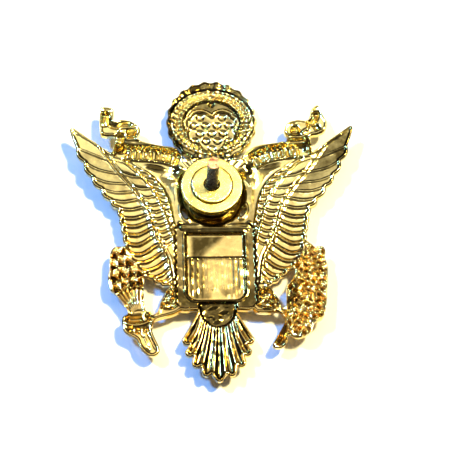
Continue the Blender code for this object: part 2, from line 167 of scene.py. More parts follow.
# Centre, half width, half height and tilt in degrees of the two holes beside the neck
PIERCINGS = [((-6.0, 3.3), 0.5, 1.2, 18.0), ((5.9, 3.5), 0.45, 1.0, -18.0)]


def corners(node):
    """A CAD node's lowest and highest corners, in millimetres."""
    low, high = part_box(node)
    return np.array(low) / MM, np.array(high) / MM


shell_low, shell_high = corners("eagle_shell")
HALF_COLUMNS = math.ceil(max(-shell_low[0], shell_high[0]) / STEP) + 3
XS = np.arange(-HALF_COLUMNS, HALF_COLUMNS + 1) * STEP
YS = np.arange(math.floor(shell_low[1] / STEP) - 3, math.ceil(shell_high[1] / STEP) + 4) * STEP
X, Y = np.meshgrid(XS, YS)


# ---- numbers over the grid ----


def smooth_step(value, low, high):
    """0 below low, 1 above high, and a soft ramp between."""
    t = np.clip((value - low) / (high - low), 0.0, 1.0)
    return t * t * (3.0 - 2.0 * t)


def bump(value, width):
    """1 at zero, falling away over width on both sides."""
    return np.exp(-((value / width) ** 2))


def box_distance(x, y, centre, half, corner):
    """Distance outside a rectangle with rounded corners, negative inside."""
    dx = np.abs(x - centre[0]) - half[0] + corner
    dy = np.abs(y - centre[1]) - half[1] + corner
    outside = np.hypot(np.maximum(dx, 0.0), np.maximum(dy, 0.0))
    return outside + np.minimum(np.maximum(dx, dy), 0.0) - corner


def oval_distance(x, y, centre, half, tilt=0.0):
    """Rough distance outside an ellipse, negative inside."""
    turn = math.radians(tilt)
    dx, dy = x - centre[0], y - centre[1]
    along = dx * math.cos(turn) + dy * math.sin(turn)
    across = dy * math.cos(turn) - dx * math.sin(turn)
    return (np.hypot(along / half[0], across / half[1]) - 1.0) * min(half)


def waves(x, y, size, seed):
    """Smooth irregular ripples about size across, from -1 to 1."""
    rng = np.random.default_rng(seed)
    total = np.zeros_like(x)
    for _ in range(7):
        angle = rng.uniform(0.0, math.tau)
        pitch = size * rng.uniform(0.7, 1.8)
        phase = rng.uniform(0.0, math.tau)
        total += np.sin((x * math.cos(angle) + y * math.sin(angle)) * math.tau / pitch + phase)
    return total / 3.5


def curve(points, steps=6, closed=False):
    """A smooth curve through the points."""
    p = np.asarray(points, float)
    if closed:
        p = np.vstack([p[-1:], p, p[:2]])
    else:
        p = np.vstack([2.0 * p[0] - p[1], p, 2.0 * p[-1] - p[-2]])
    t = (np.arange(steps) / steps)[:, None]
    spans = []
    for a, b, c, d in zip(p, p[1:], p[2:], p[3:]):
        bend = (2.0 * a - 5.0 * b + 4.0 * c - d) * t**2 + (3.0 * b - a - 3.0 * c + d) * t**3
        spans.append(0.5 * (2.0 * b + (c - a) * t + bend))
    if not closed:
        spans.append(p[-2:-1])
    return np.vstack(spans)


def extended(points, reach):
    """The points with a straight stretch added at both ends."""
    first = points[0] - points[1]
    last = points[-1] - points[-2]
    start = points[0] + first / np.hypot(*first) * reach
    end = points[-1] + last / np.hypot(*last) * reach
    return np.vstack([start, points, end])


def to_curve(points, x, y):
    """Distance to a polyline, positive on its left, and the fraction of its length there."""
    best = np.full(x.shape, 1e9)
    side = np.ones(x.shape)
    along = np.zeros(x.shape)
    lengths = np.hypot(*np.diff(points, axis=0).T)
    starts = np.concatenate([[0.0], np.cumsum(lengths)])
    for k, length in enumerate(lengths):
        if length < 1e-9:
            continue
        (ax, ay), (dx, dy) = points[k], points[k + 1] - points[k]
        t = np.clip(((x - ax) * dx + (y - ay) * dy) / length**2, 0.0, 1.0)
        gap = (x - ax - t * dx) ** 2 + (y - ay - t * dy) ** 2
        nearer = gap < best
        best = np.where(nearer, gap, best)
        side = np.where(nearer, np.sign(dx * (y - ay) - dy * (x - ax)), side)
        along = np.where(nearer, starts[k] + t * length, along)
    return np.sqrt(best) * side, along / starts[-1]


def polygon_distance(points, x, y):
    """Distance outside a closed outline, negative inside."""
    ring = np.vstack([points, points[:1]])
    distance = np.abs(to_curve(ring, x, y)[0])
    inside = np.zeros(x.shape, bool)
    for (ax, ay), (bx, by) in zip(ring, ring[1:]):
        if ay == by:
            continue
        crosses = ((ay > y) != (by > y)) & (x < (bx - ax) * (y - ay) / (by - ay) + ax)
        inside ^= crosses
    return np.where(inside, -distance, distance)


def window(points, margin):
    """The part of the grid within margin of the points, and its x and y."""
    low = np.min(points, axis=0) - margin
    high = np.max(points, axis=0) + margin
    columns = slice(int(np.searchsorted(XS, low[0])), int(np.searchsorted(XS, high[0])))
    rows = slice(int(np.searchsorted(YS, low[1])), int(np.searchsorted(YS, high[1])))
    part = rows, columns
    return part, X[part], Y[part]


def mirrored(part):
    """The same part of the grid on the other side of the middle."""
    rows, columns = part
    return rows, slice(len(XS) - columns.stop, len(XS) - columns.start)


# ---- outlines ----


def arc(centre, radius, start, end, steps):
    """Points on a circular arc, angles in degrees."""
    angles = np.radians(np.linspace(start, end, steps + 1))
    return np.stack([centre[0] + radius * np.cos(angles), centre[1] + radius * np.sin(angles)], 1)


def wing_outline():
    """The right wing, with a shallow lobe for each feather's tip."""
    points = list(curve(WING_FRONT + WING_TIP + FEATHER_LINES[0][:1]))[:-1]
    notches = np.array([line[0] for line in FEATHER_LINES])
    for start, end in zip(notches, notches[1:]):
        span = end - start
        outward = np.array([-span[1], span[0]])
        for share in np.linspace(0.0, 1.0, 7)[:-1]:
            bulge = outward * FEATHER_BULGE * math.sin(math.pi * share)
            points.append(start + span * share + bulge)
    points += [notches[-1], (8.0, -12.8), (7.6, 5.0)]
    return np.array(points)


def ring_outline():
    """The ring's rippled outer edge."""
    angles = np.linspace(0.0, math.tau, RING_RIPPLES * 8 + 1)[:-1]
    radius = RING_RADIUS + RING_RIPPLE * np.cos(RING_RIPPLES * angles)
    return RING_CENTRE + np.stack([radius * np.cos(angles), radius * np.sin(angles)], 1)


def tail_outline():
    """A fan of round-ended feathers, shorter towards the sides."""
    stretches = [[(3.4, -15.0), (-3.4, -15.0), (-4.0, -19.0)]]
    for i in range(TAIL_FEATHERS):
        share = 2.0 * i / (TAIL_FEATHERS - 1) - 1.0
        angle = -90.0 + TAIL_HALF_ANGLE * share
        turn = math.radians(angle)
        length = TAIL_LENGTH * (1.0 - TAIL_DROP * abs(share) ** 1.3)
        tip = TAIL_ROOT + length * np.array([math.cos(turn), math.sin(turn)])
        stretches.append(arc(tip, TAIL_TIP_RADIUS, angle - 70.0, angle + 70.0, 8))
    stretches.append([(4.0, -19.0)])
    return np.vstack(stretches)


WING = wing_outline()


def sheet_outline():
    """Distance outside the whole badge over the grid, negative in the metal."""
    shapes = [WING, WING * (-1.0, 1.0), ring_outline(), tail_outline()]
    for points in (TORSO, LEFT_LEG, RIGHT_LEG, ARROWS, BRANCH, LEFT_SCROLL, RIGHT_SCROLL):
        shapes.append(curve(points, closed=True))
    joint = 0.25
    outside = np.full(X.shape, 4.0)
    for points in shapes:
        part, x, y = window(points, 3.0)
        new = polygon_distance(points, x, y)
        old = outside[part]
        overlap = np.maximum(joint - np.abs(new - old), 0.0)
        outside[part] = np.minimum(new, old) - overlap**2 / (4.0 * joint)
    for centre, half_width, half_height, tilt in PIERCINGS:
        hole = oval_distance(X, Y, centre, (half_width, half_height), tilt)
        outside = np.maximum(outside, -hole)
    return outside


OUTSIDE = sheet_outline()
INSIDE = -OUTSIDE


# ---- relief ----


def rim_height(x, y):
    """Height of the sheet's back where nothing is struck into it."""
    return RIM + WING_SWEEP_BACK * (x / HALF_SPAN) ** 2 + END_SWEEP_BACK * (y / HALF_LENGTH) ** 2


back = rim_height(X, Y)
# How far the gilding is darkened at each grid point: real tarnish in places, painted shade in
# others
tarnish_and_shade = np.zeros(X.shape)


def lay(part, height, cover):
    """Puts height in place of what is there, as far as cover says."""
    back[part] += (height - back[part]) * cover


def sink(part, height, distance, wall):
    """Lays a hollow whose wall ends at distance zero."""
    lay(part, height, 1.0 - smooth_step(distance, -wall, 0.0))


def paint_tarnish_and_shade(part, amount, cover):
    """Darkens the gilding towards bronze, where 1 is the darkest: real tarnish in some places,
    painted shade in others.
    """
    tarnish_and_shade[part] = np.maximum(tarnish_and_shade[part], amount * cover)


def score(points, depth, width, taper=0.0):
    """A groove along a curve, or a ridge where depth is negative."""
    line = curve(points)
    part, x, y = window(line, 3.0 * width)
    distance, along = to_curve(line, x, y)
    ends = np.minimum(along, 1.0 - along)
    fade = smooth_step(ends, 0.0, taper) if taper else 1.0
    back[part] -= depth * bump(distance, width) * fade


def cup(centre, radius, depth, lip):
    """A round hollow with a raised lip."""
    part, x, y = window([centre], radius + 0.6)
    r = np.hypot(x - centre[0], y - centre[1])
    hollow = np.clip(1.0 - (r / radius) ** 2, 0.0, 1.0) ** 0.8
    back[part] += lip * bump(r - radius, 0.2) - depth * hollow


def strips(lines, x, y):
    """Between neighbouring lines: -1 on the first to 1 on the second, and the gap's width."""
    signed = [to_curve(extended(curve(line), 4.0), x, y)[0] for line in lines]
    across = np.zeros(x.shape)
    width = np.full(x.shape, 99.0)
    for first, second in zip(signed, signed[1:]):
        gap = first - second
        here = (first >= 0.0) & (second < 0.0) & (gap < width)
        across = np.where(here, (first + second) / np.maximum(gap, 1e-6), across)
        width = np.where(here, gap, width)
    return across, np.where(width > 90.0, 1.0, width)


def rungs(first, second, count):
    """Lines that join two curves at even steps."""
    a, b = curve(first, 12), curve(second, 12)
    lines = []
    for k in range(count):
        share = k / (count - 1)
        p, q = a[round(share * (len(a) - 1))], b[round(share * (len(b) - 1))]
        middle = (p + q) / 2.0 + (0.0, -0.18)
        lines.append([p, middle, q])
    return lines


def crease(across, width, size):
    """1 on the line between two strips, falling away over size millimetres."""
    return bump((1.0 - np.abs(across)) * width / 2.0, size)


def scoop(across):
    """A feather's flat-bottomed hollow from its upper line, -1, to its lower line, 1."""
    share = (np.clip(across, -1.0, 1.0) + 1.0) / 2.0
    return np.minimum(1.35 * np.sin(math.pi * share**0.62), 1.0)


def blend(height, other, share):
    """One height turning into another as share goes from 0 to 1."""
    return height + (other - height) * share


def flight_feathers(x, y, rim, inside, outer, lower, first):
    """The long feathers' scoops, shallow in the upper ones, with a crease between each two."""
    top = [WING_TIP[1], (24.3, 18.3), (20.8, 16.2)]
    across, width = strips([top] + FEATHER_LINES, x, y)
    depth = np.minimum((0.035 + 0.16 * lower) * width, 0.5)
    ends = smooth_step(inside, 0.2, 1.1) * smooth_step(outer, 0.0, 1.5)
    depth = depth * (1.0 - 0.75 * first)
    feathers = rim - 0.3 - depth * scoop(across) * ends
    ridge = (0.1 + 0.05 * lower) * crease(across, width, 0.17)
    return feathers + ridge * smooth_step(inside, 0.0, 0.5)


def coverts(x, y, rim, outer, inner, leading, lower):
    """The two rows of coverts: the wide row's height and the small row's."""
    across, width = strips(COVERT_LINES, x, y)
    ends = smooth_step(-outer, 0.0, 0.9) * smooth_step(inner, 0.0, 0.6)
    middle = rim - 0.5 - np.minimum((0.07 + 0.13 * lower) * width, 0.4) * scoop(across) * ends
    middle += 0.1 * crease(across, width, 0.17)
    across, width = strips(rungs(INNER_EDGE, LEADING_EDGE, 11), x, y)
    ends = smooth_step(-inner, 0.0, 0.5) * smooth_step(leading, 0.0, 0.5)
    small = rim - 0.7 - 0.3 * scoop(across) * ends
    small += 0.08 * crease(across, width, 0.16)
    return middle, small


def lay_wings():
    """Flight feathers, two rows of coverts and the channel behind the leading edge."""
    part, x, y = window([(6.4, -13.8), (29.6, 22.2)], 0.4)
    rim = rim_height(x, y)
    inside = -polygon_distance(WING, x, y)
    edges = (COVERT_EDGE, INNER_EDGE, LEADING_EDGE)
    outer, inner, leading = (to_curve(extended(curve(e), 3.0), x, y)[0] for e in edges)
    lower = smooth_step(-y, -9.0, 1.0)
    first = smooth_step(y - 0.4 * x, 5.4, 6.4)
    middle, small = coverts(x, y, rim, outer, inner, leading, lower)
    distance, along = to_curve(curve(CHANNEL), x, y)
    half = 1.4 * smooth_step(1.0 - along, -0.05, 0.55) + 0.6
    channel = rim - 0.8 - 0.5 * bump(distance / half, 0.8) * smooth_step(along, 0.0, 0.4)
    height = flight_feathers(x, y, rim, inside, outer, lower, first)
    height = blend(height, middle, smooth_step(-outer, -0.1, 0.15))
    height = blend(height, small, smooth_step(-inner, -0.1, 0.15))
    height = blend(height, channel, smooth_step(-leading, -0.2, 0.3))
    height = height - 0.3 * bump(outer + 0.12, 0.18) + 0.14 * bump(outer - 0.28, 0.17)
    height = height - 0.2 * bump(inner + 0.1, 0.17) + 0.1 * bump(inner - 0.22, 0.15)
    cover = smooth_step(inside, -0.05, 0.3)
    root = smooth_step(x, 6.5, 8.3)
    shoulder = root * smooth_step(y, -12.8, -12.2) * smooth_step(14.4 - y, 0.0, 1.5)
    cover = np.where(x < 9.0, np.maximum(cover * root, shoulder), cover)
    lay(part, height, cover)
    flip = mirrored(part)
    lay(flip, height[:, ::-1], cover[:, ::-1])
    # Painted shade: the right wing's upper flight feathers darkened strongly, the left wing's upper
    # feathers, bar the first, lightly
    paint_tarnish_and_shade(part, 0.85, smooth_step(y - 0.5 * x, -5.0, 2.0) * smooth_step(outer, 0.0, 1.0))
    paint_tarnish_and_shade(flip, 0.3, (bump(first - 0.5, 9.0) * smooth_step(y, 6.0, 10.0) * (1.0 - first))[:, ::-1])
    # Painted shade along the groove where the flight feathers meet the coverts
    for place, low in ((part, outer), (flip, outer[:, ::-1])):
        paint_tarnish_and_shade(place, 0.5, bump(low, 0.35))


# The right half of the ring's lobed panel, and its rows of cups: each row's y, then its x
HALF_PANEL = [
    (0.2, 25.1), (0.9, 25.9), (2.4, 26.3), (3.9, 25.7), (4.4, 24.9), (5.2, 24.3), (5.4, 23.0),
    (4.9, 22.1), (5.3, 21.0), (5.0, 19.6), (4.0, 18.9), (2.9, 18.6), (2.2, 17.4), (1.0, 16.7),
    (0.1, 16.6),
]
CUP_ROWS = [
    (24.9, (-2.3, 2.3)), (23.0, (-3.6, -1.2, 1.2, 3.6)), (21.2, (-2.4, 0.0, 2.4)),
    (19.5, (-3.5, -1.2, 1.2, 3.5)), (17.7, (0.0,)),
]


def lay_ring():
    """Outer cloud band, pleats, recess and the lobed panel with its cups."""
    part, x, y = window([RING_CENTRE], RING_RADIUS + 0.5)
    rim = rim_height(x, y)
    dx, dy = x - RING_CENTRE[0], y - RING_CENTRE[1]
    radius = np.hypot(dx, dy)
    angle = np.arctan2(dy, dx)
    oval = np.hypot(dx / 7.9, dy / 6.75)
    band = rim - 0.2 + 0.06 * waves(x, y, 2.1, 3) + 0.05 * np.cos(RING_RIPPLES * angle)
    pleats = rim - 0.4 + 0.3 * np.cos(angle * 44.0)
    pleats = pleats - 0.2 * bump(oval - 0.88, 0.03)
    height = blend(band, pleats, smooth_step(-oval, -1.03, -0.99))
    height = blend(height, rim - 1.0, smooth_step(-oval, -0.78, -0.70))
    height = height - 0.4 * bump((oval - 1.06) * 7.0, 0.3)
    left_half = [(-a, b) for a, b in HALF_PANEL[-2:0:-1]]
    panel = polygon_distance(curve(HALF_PANEL + left_half, closed=True), x, y)
    height = blend(height, rim - 1.35, smooth_step(-panel, 0.0, 0.5))
    height = height + 0.28 * bump(panel, 0.24)
    lay(part, height, smooth_step(RING_RADIUS + 0.3 - radius, 0.0, 0.3))
    # The outer band's own brownish tone, with painted shade making it darker on the left and at the
    # top
    shade = 0.6 - 0.045 * dx + 0.3 * smooth_step(dy, 4.0, 7.0)
    paint_tarnish_and_shade(part, 1.0, shade * smooth_step(oval, 1.0, 1.1) * (radius < 10.0))
    # Painted shade along the edges of the pleats, and in the recess inside them
    paint_tarnish_and_shade(part, 0.55, bump(oval - 1.0, 0.035) + bump(oval - 0.83, 0.03))
    paint_tarnish_and_shade(part, 0.8, smooth_step(-oval, -0.82, -0.74) * smooth_step(panel, 0.0, 0.3))
    paint_tarnish_and_shade(part, 0.35, smooth_step(-panel, 0.0, 0.4))
    for row_y, row_x in CUP_ROWS:
        for cup_x in row_x:
            cup((cup_x, row_y), 0.95, 0.24, 0.08)
    score([(0.15, 29.6), (0.1, 28.2), (0.2, 27.0)], 0.55, 0.35, 0.2)


def lay_ribbon(centre_line, half, side, folds):
    """A ribbon seen from behind: a trough with upright reeding in it, nearer its lower edge."""
    line = curve(centre_line)
    part, x, y = window(line, half + 1.0)
    rim = rim_height(x, y)
    distance, along = to_curve(line, x, y)
    length = np.hypot(*np.diff(line, axis=0).T).sum()
    trough = rim - 0.2 - 1.3 * (1.0 - smooth_step(np.abs(distance), half - 0.6, half - 0.15))
    run = along * length
    reed = np.abs(np.sin((run + 0.2 * np.sin(run * 1.9)) * math.pi / 1.25)) ** 0.7
    reeded = smooth_step(run, 2.2, 2.6)
    floor = 1.0 - smooth_step(np.abs(distance + side * 0.3), half - 0.8, half - 0.4)
    trough = trough + 0.95 * (reed - 0.3) * reeded * floor
    trough = trough - 0.3 * (1.0 - reeded) * floor
    ends = (along > 0.0) & (along < 1.0)
    cover = smooth_step(half - np.abs(distance), -0.1, 0.15) * ends
    lay(part, trough, cover)
    # Painted shade on the trough's side walls
    paint_tarnish_and_shade(part, 0.45, cover * (1.0 - floor) * (np.abs(distance) < half - 0.1))
    for points, depth, width in folds:
        score(points, depth, width, 0.12)


# The ribbon ends' middle lines, and their folds as line, depth and width
LEFT_RIBBON = [(-20.0, 17.0), (-17.0, 16.4), (-13.5, 16.2), (-10.0, 15.8), (-7.0, 14.8)]
LEFT_FOLDS = [
    ([(-21.9, 25.4), (-22.1, 23.6), (-21.7, 21.8)], 1.0, 0.6),
    ([(-21.5, 24.9), (-21.0, 24.5)], -0.5, 0.3),
    ([(-21.4, 22.4), (-19.8, 21.9), (-18.4, 22.5), (-16.6, 22.6)], 0.6, 0.36),
    ([(-21.3, 23.7), (-20.0, 22.9), (-18.5, 23.1), (-16.9, 23.1), (-15.6, 22.3)], -0.15, 0.2),
    ([(-19.6, 20.8), (-18.6, 21.6), (-16.8, 21.7), (-15.2, 21.3)], -0.35, 0.22),
    ([(-17.6, 20.4), (-16.6, 20.5), (-15.7, 20.4)], 1.5, 0.62),
    ([(-18.9, 20.6), (-18.9, 18.6), (-18.5, 16.6)], 1.1, 0.6),
    ([(-17.8, 18.9), (-16.2, 19.1), (-14.9, 18.9)], -0.4, 0.26),
]
RIGHT_RIBBON = [(20.3, 16.9), (17.5, 16.7), (13.8, 16.4), (10.6, 15.6), (8.2, 14.2)]
RIGHT_FOLDS = [
    ([(14.6, 18.6), (16.5, 18.6), (18.8, 18.7), (20.2, 19.3)], 0.9, 0.34),
    ([(15.6, 19.4), (17.0, 19.2), (18.6, 19.3), (19.8, 19.9)], -0.35, 0.26),
    ([(16.5, 21.2), (17.3, 21.0), (18.1, 21.2)], 1.4, 0.66),
    ([(18.6, 20.2), (19.4, 20.8), (20.2, 21.2)], -0.4, 0.3),
    ([(19.6, 22.3), (20.8, 22.4), (21.6, 23.4), (21.9, 25.2)], 0.9, 0.42),
    ([(21.6, 22.0), (22.0, 20.9)], 0.6, 0.5),
    ([(21.3, 24.3), (20.9, 23.6)], -0.3, 0.3),
    ([(19.8, 18.2), (19.7, 16.6)], -0.5, 0.6),
]


def lay_scrolls():
    """The ribbon ends either side of the ring."""
    lay_ribbon(LEFT_RIBBON, 1.75, 1.0, LEFT_FOLDS)
    lay_ribbon(RIGHT_RIBBON, 1.75, -1.0, RIGHT_FOLDS)
    for side in (-1.0, 1.0):
        web, x, y = window([(side * 12.0, 13.4)], 3.6)
        spot = oval_distance(x, y, (side * 11.9, 13.2), (2.4, 0.7), side * 12.0)
        cover = 1.0 - smooth_step(spot, -0.3, 0.2)
        lay(web, rim_height(x, y) - 0.7, cover)
        # Painted shade: the sunk web between scroll and wing is darkened fully
        paint_tarnish_and_shade(web, 1.0, cover)
        for k in range(6):
            turn = math.radians(22.0 + 9.5 * k)
            across, up = side * math.cos(turn), math.sin(turn)
            start = (BOWL_CENTRE[0] + 7.0 * across, BOWL_CENTRE[1] + 7.0 * up)
            end = (BOWL_CENTRE[0] + 9.6 * across, BOWL_CENTRE[1] + 9.2 * up + 0.3)
            score([start, end], -0.15, 0.36, 0.15)
        # Painted shade beside the nut's shoulders, darker on the right
        sector, x, y = window([(side * 7.4, 12.8)], 2.6)
        paint_tarnish_and_shade(sector, 0.5 + 0.15 * side, bump(np.hypot(x - side * 7.4, y - 12.8), 1.8))


# The arrowheads' distance from the claw's grip and their bearings from it
ARROWHEAD_ROWS = [
    (13.9, (-20.0, -12.5)), (11.7, (-26.5, -18.2, -10.5)), (9.5, (-32.0, -21.0, -9.5, 0.5)),
    (7.4, (-38.5, -25.0, -12.0, 2.0)),
]
# The claw's toes and the arrows' butts, as line, depth and width
CLAW = [
    ([(-18.0, -19.6), (-16.6, -19.9), (-14.6, -19.7)], 1.0, 0.6),
    ([(-18.4, -20.2), (-17.6, -21.1), (-16.0, -21.3), (-14.2, -20.9), (-12.9, -20.0)], -0.45, 0.3),
    ([(-17.6, -22.2), (-16.6, -22.0)], 0.7, 0.5),
    ([(-15.6, -21.9), (-15.7, -22.9)], 0.7, 0.4),
    ([(-14.3, -21.6), (-13.9, -22.6)], 0.6, 0.4),
    ([(-15.0, -22.6), (-14.3, -24.6), (-13.2, -26.8)], 0.15, 0.24),
    ([(-13.9, -22.4), (-13.0, -24.6), (-12.0, -26.6)], 0.15, 0.2),
    ([(-14.6, -23.6), (-13.7, -25.8)], -0.2, 0.22),
]


def lay_arrows():
    """Arrowheads in staggered rows, shafts that close in to the claw, and their butts."""
    points = curve(ARROWS, closed=True)
    part, x, y = window(points, 0.5)
    inside = -polygon_distance(points, x, y)
    rim = rim_height(x, y)
    grip = (-15.4, -19.4)
    radius = np.hypot(x - grip[0], y - grip[1])
    angle = np.arctan2(x - grip[0], y - grip[1])
    flutes = 0.5 + 0.5 * np.cos(angle * math.tau / math.radians(8.5))
    shafts = smooth_step(radius, 0.9, 1.6) * (1.0 - smooth_step(radius, 6.0, 6.6)) * (y > grip[1])
    height = rim - 0.4 - np.minimum(0.16 * radius, 0.65) * flutes * shafts
    cover = smooth_step(inside, -0.05, 0.25)
    lay(part, height, cover)
    # Painted shade in the grooves between the shafts
    paint_tarnish_and_shade(part, 0.75, flutes * shafts * cover)
    rng = np.random.default_rng(8)
    for reach, turns in ARROWHEAD_ROWS:
        for turn in turns:
            place = np.array([math.sin(math.radians(turn)), math.cos(math.radians(turn))])
            centre = np.array(grip) + place * (reach + rng.uniform(-0.35, 0.35))
            arrowhead(centre, math.radians(turn + rng.uniform(-28.0, 28.0)), rng.uniform(0.8, 1.15))
    for line, depth, width in CLAW:
        score(line, depth, width, 0.15)


def arrowhead(centre, turn, size):
    """A three-cornered pit with raised edges, pointing along turn."""
    out = np.array([math.sin(turn), math.cos(turn)])
    part, x, y = window([centre], 2.1)
    dx, dy = x - centre[0], y - centre[1]
    v = (dx * out[0] + dy * out[1]) / size
    u = (dx * out[1] - dy * out[0]) / size
    edge = np.maximum(np.abs(u) - 0.95 * (1.0 - v) / 2.0, -v - 0.9)
    back[part] += 0.3 * bump(edge - 0.12, 0.16) - 1.1 * smooth_step(-edge, -0.05, 0.4)
    # Painted shade in the pit
    paint_tarnish_and_shade(part, 0.9, smooth_step(-edge, 0.05, 0.3))


def leaf(centre, half, tilt, depth, lip):
    """An oval hollow with a raised lip, where no leaf starts from deeper than LEAF_BASE."""
    part, x, y = window([centre], max(half) + 0.6)
    edge = oval_distance(x, y, centre, half, tilt)
    hollow = smooth_step(-edge, 0.0, min(half)) * depth
    back[part] = np.maximum(back[part], LEAF_BASE) + lip * bump(edge - 0.08, 0.17) - hollow


def lay_branch():
    """Close-set leaves and berries all over the branch, and its slotted stem."""
    points = curve(BRANCH, closed=True)
    part, x, y = window(points, 0.5)
    inside = -polygon_distance(points, x, y)
    lumpy = rim_height(x, y) - 0.5 + 0.35 * waves(x, y, 3.0, 14)
    lay(part, lumpy, smooth_step(inside, -0.05, 0.25))
    rng = np.random.default_rng(11)
    pitch = 1.36
    for row in range(17):
        for column in range(9):
            cx = 12.9 + pitch * (column + 0.5 * (row % 2)) + rng.uniform(-0.38, 0.38)
            cy = -5.4 - 1.12 * row + rng.uniform(-0.32, 0.32)
            long = rng.uniform(0.5, 1.0)
            tilt = rng.uniform(0.0, 180.0)
            depth = rng.uniform(0.45, 1.1)
            spot = np.array([[cx]]), np.array([[cy]])
            here, wing_edge = (polygon_distance(shape, *spot)[0, 0] for shape in (points, WING))
            if here < -0.35 and wing_edge > 0.1 and not (cx < 13.6 and cy < -19.5):
                leaf((cx, cy), (long, rng.uniform(0.38, 0.5)), tilt, depth, 0.32)
    # Painted shade on the branch's upper inner part, clear of the wing
    shaded = smooth_step(17.2 - x, 0.0, 2.0) * smooth_step(y, -19.0, -16.0)
    paint_tarnish_and_shade(part, 0.6, shaded * smooth_step(inside, 0.0, 0.2) * (polygon_distance(WING, x, y) > 0.0))
    score([(13.6, -20.9), (12.7, -23.2), (11.4, -25.6)], 0.9, 0.36, 0.1)
    score([(12.6, -15.2), (12.7, -16.6), (13.4, -17.6)], -0.5, 0.3, 0.15)


def lay_legs():
    """Hollow thighs with rows of small scales."""
    for side in (-1.0, 1.0):
        centre = (side * 9.7, -15.9)
        part, x, y = window([centre], 3.4)
        sink(part, rim_height(x, y) - 1.3, oval_distance(x, y, centre, (2.7, 2.3)), 1.1)
        # Painted shade in the thigh's hollow
        paint_tarnish_and_shade(part, 0.4, 1.0 - smooth_step(oval_distance(x, y, centre, (3.2, 2.8)), -0.6, 0.3))
        for k in range(9):
            spot = (side * (7.9 + 0.95 * (k % 4)), -14.2 - 1.1 * (k // 3) - 0.3 * (k % 2))
            cup(spot, 0.55, 0.35, 0.25)
        score([(side * 11.4, -17.0), (side * 12.6, -18.6), (side * 14.2, -19.4)], 0.6, 0.5, 0.2)


def lay_flanks(part, x, y):
    """The flats beside the shield, ragged where the feathers end."""
    flank = box_distance(x, y, SHIELD_CENTRE, FLANK_HALF, FLANK_CORNER)
    ragged = flank + 0.14 * np.sin(y * math.tau / 1.55) * smooth_step(np.abs(x), 7.6, 8.1)
    sink(part, FLANK_HEIGHT + 0.02 * waves(x, y, 1.8, 21), ragged, 0.3)
    low = 0.76 + 0.24 * smooth_step(-y, 11.0, 14.5)
    paint_tarnish_and_shade(part, 1.0, low * smooth_step(-flank, -0.2, 0.5))
    # Painted shade along the foot of the ragged wall
    paint_tarnish_and_shade(part, 0.3, bump(ragged + 0.1, 0.4) * (np.abs(x) > 7.5))


def lay_shield(part, x, y):
    """The shield's plain chief above its fluted field, with the field worn at its foot."""
    corner = np.where(y > SHIELD_CENTRE[1], 0.5, 2.2)
    edge = box_distance(x, y, SHIELD_CENTRE, SHIELD_HALF, corner)
    back[part] += 0.1 * bump(edge - 0.25, 0.22) + 0.25 * bump(y + 0.1, 0.35) * (np.abs(x) < 7.0)
    bowed = 0.12 * (x / SHIELD_HALF[0]) ** 2
    chief = CHIEF_HEIGHT + bowed + 0.006 * (y + 2.5) ** 2
    pitch = 2.0 * SHIELD_HALF[0] / FLUTES
    flute = 0.5 + 0.5 * np.cos((x + SHIELD_HALF[0]) * math.tau / pitch)
    fade = 0.35 + 0.65 * smooth_step(np.abs(x), 1.5, 4.5)
    worn = 0.25 + 0.75 * smooth_step(y, -15.5, -10.5)
    field = FIELD_HEIGHT + bowed + 0.1 * flute * fade * worn
    field = field + 0.025 * waves(x, y, 1.8, 9) * smooth_step(-y, 10.0, 14.0)
    floor = blend(field, chief, smooth_step(y, CHIEF_FOOT - 0.1, CHIEF_FOOT + 0.15))
    floor = floor - 0.12 * bump(y - CHIEF_FOOT + 0.12, 0.14)
    sink(part, np.maximum(floor, SHEET), edge, 0.25)

    tarnish_and_shade[part] *= 1.0 - smooth_step(-edge, 0.0, 0.4)
    inner = smooth_step(-edge, 0.3, 0.9)
    above, below = inner * (y > CHIEF_FOOT), inner * (y < CHIEF_FOOT)
    # Painted shade: the chief darkened at its upper left, the field on its left and, less, on its
    # right
    slant = x - 1.0 * (y + 3.0)
    paint_tarnish_and_shade(part, 1.0, above * smooth_step(-slant, -1.6, 0.6) * smooth_step(x, -5.4, -4.2))
    paint_tarnish_and_shade(part, 1.0, below * smooth_step(-x, 0.2, 3.4) * (0.7 + 0.3 * flute))
    paint_tarnish_and_shade(part, 0.5, below * smooth_step(x, 1.6, 4.0))
    blotch = smooth_step(waves(x, y, 3.4, 31), -0.6, 0.6)
    paint_tarnish_and_shade(part, 0.7, inner * smooth_step(-y, 9.5, 15.0) * blotch)


def lay_neck(part, x, y):
    """The throat, the round hollow that holds the plate, and the ridge above the shield."""
    throat = box_distance(x, y, (0.0, 5.8), (9.5, 6.9), 4.0)
    sink(part, THROAT_HEIGHT + 0.05 * waves(x, y, 4.0, 12), throat, 2.3)
    # Painted shade over the throat under the nut, darker towards the right
    shade = 0.15 + 0.3 * smooth_step(x, 0.0, 7.0)
    paint_tarnish_and_shade(part, 1.0, (1.0 - smooth_step(throat, -2.0, 0.0)) * shade)
    bowl = np.hypot(x - BOWL_CENTRE[0], y - BOWL_CENTRE[1])
    floor = SHEET + 0.05 * (1.0 + waves(x, y, 1.5, 6)) * smooth_step(bowl, 5.0, 5.6)
    sink(part, floor, bowl - BOWL_OUTER_RADIUS, BOWL_OUTER_RADIUS - BOWL_FLAT_RADIUS)
    # Painted shade in the bowl under the nut
    paint_tarnish_and_shade(part, 0.65, 1.0 - smooth_step(bowl, BOWL_OUTER_RADIUS - 1.2, BOWL_OUTER_RADIUS + 0.2))
    # The ridge above the shield: its own brown tone, with painted shade inside the shield's top
    # wall
    ridge = smooth_step(y, -1.6, -0.6) * (1.0 - smooth_step(y, 0.8, 1.6)) * (np.abs(x) < 7.5)
    paint_tarnish_and_shade(part, 0.8, ridge)


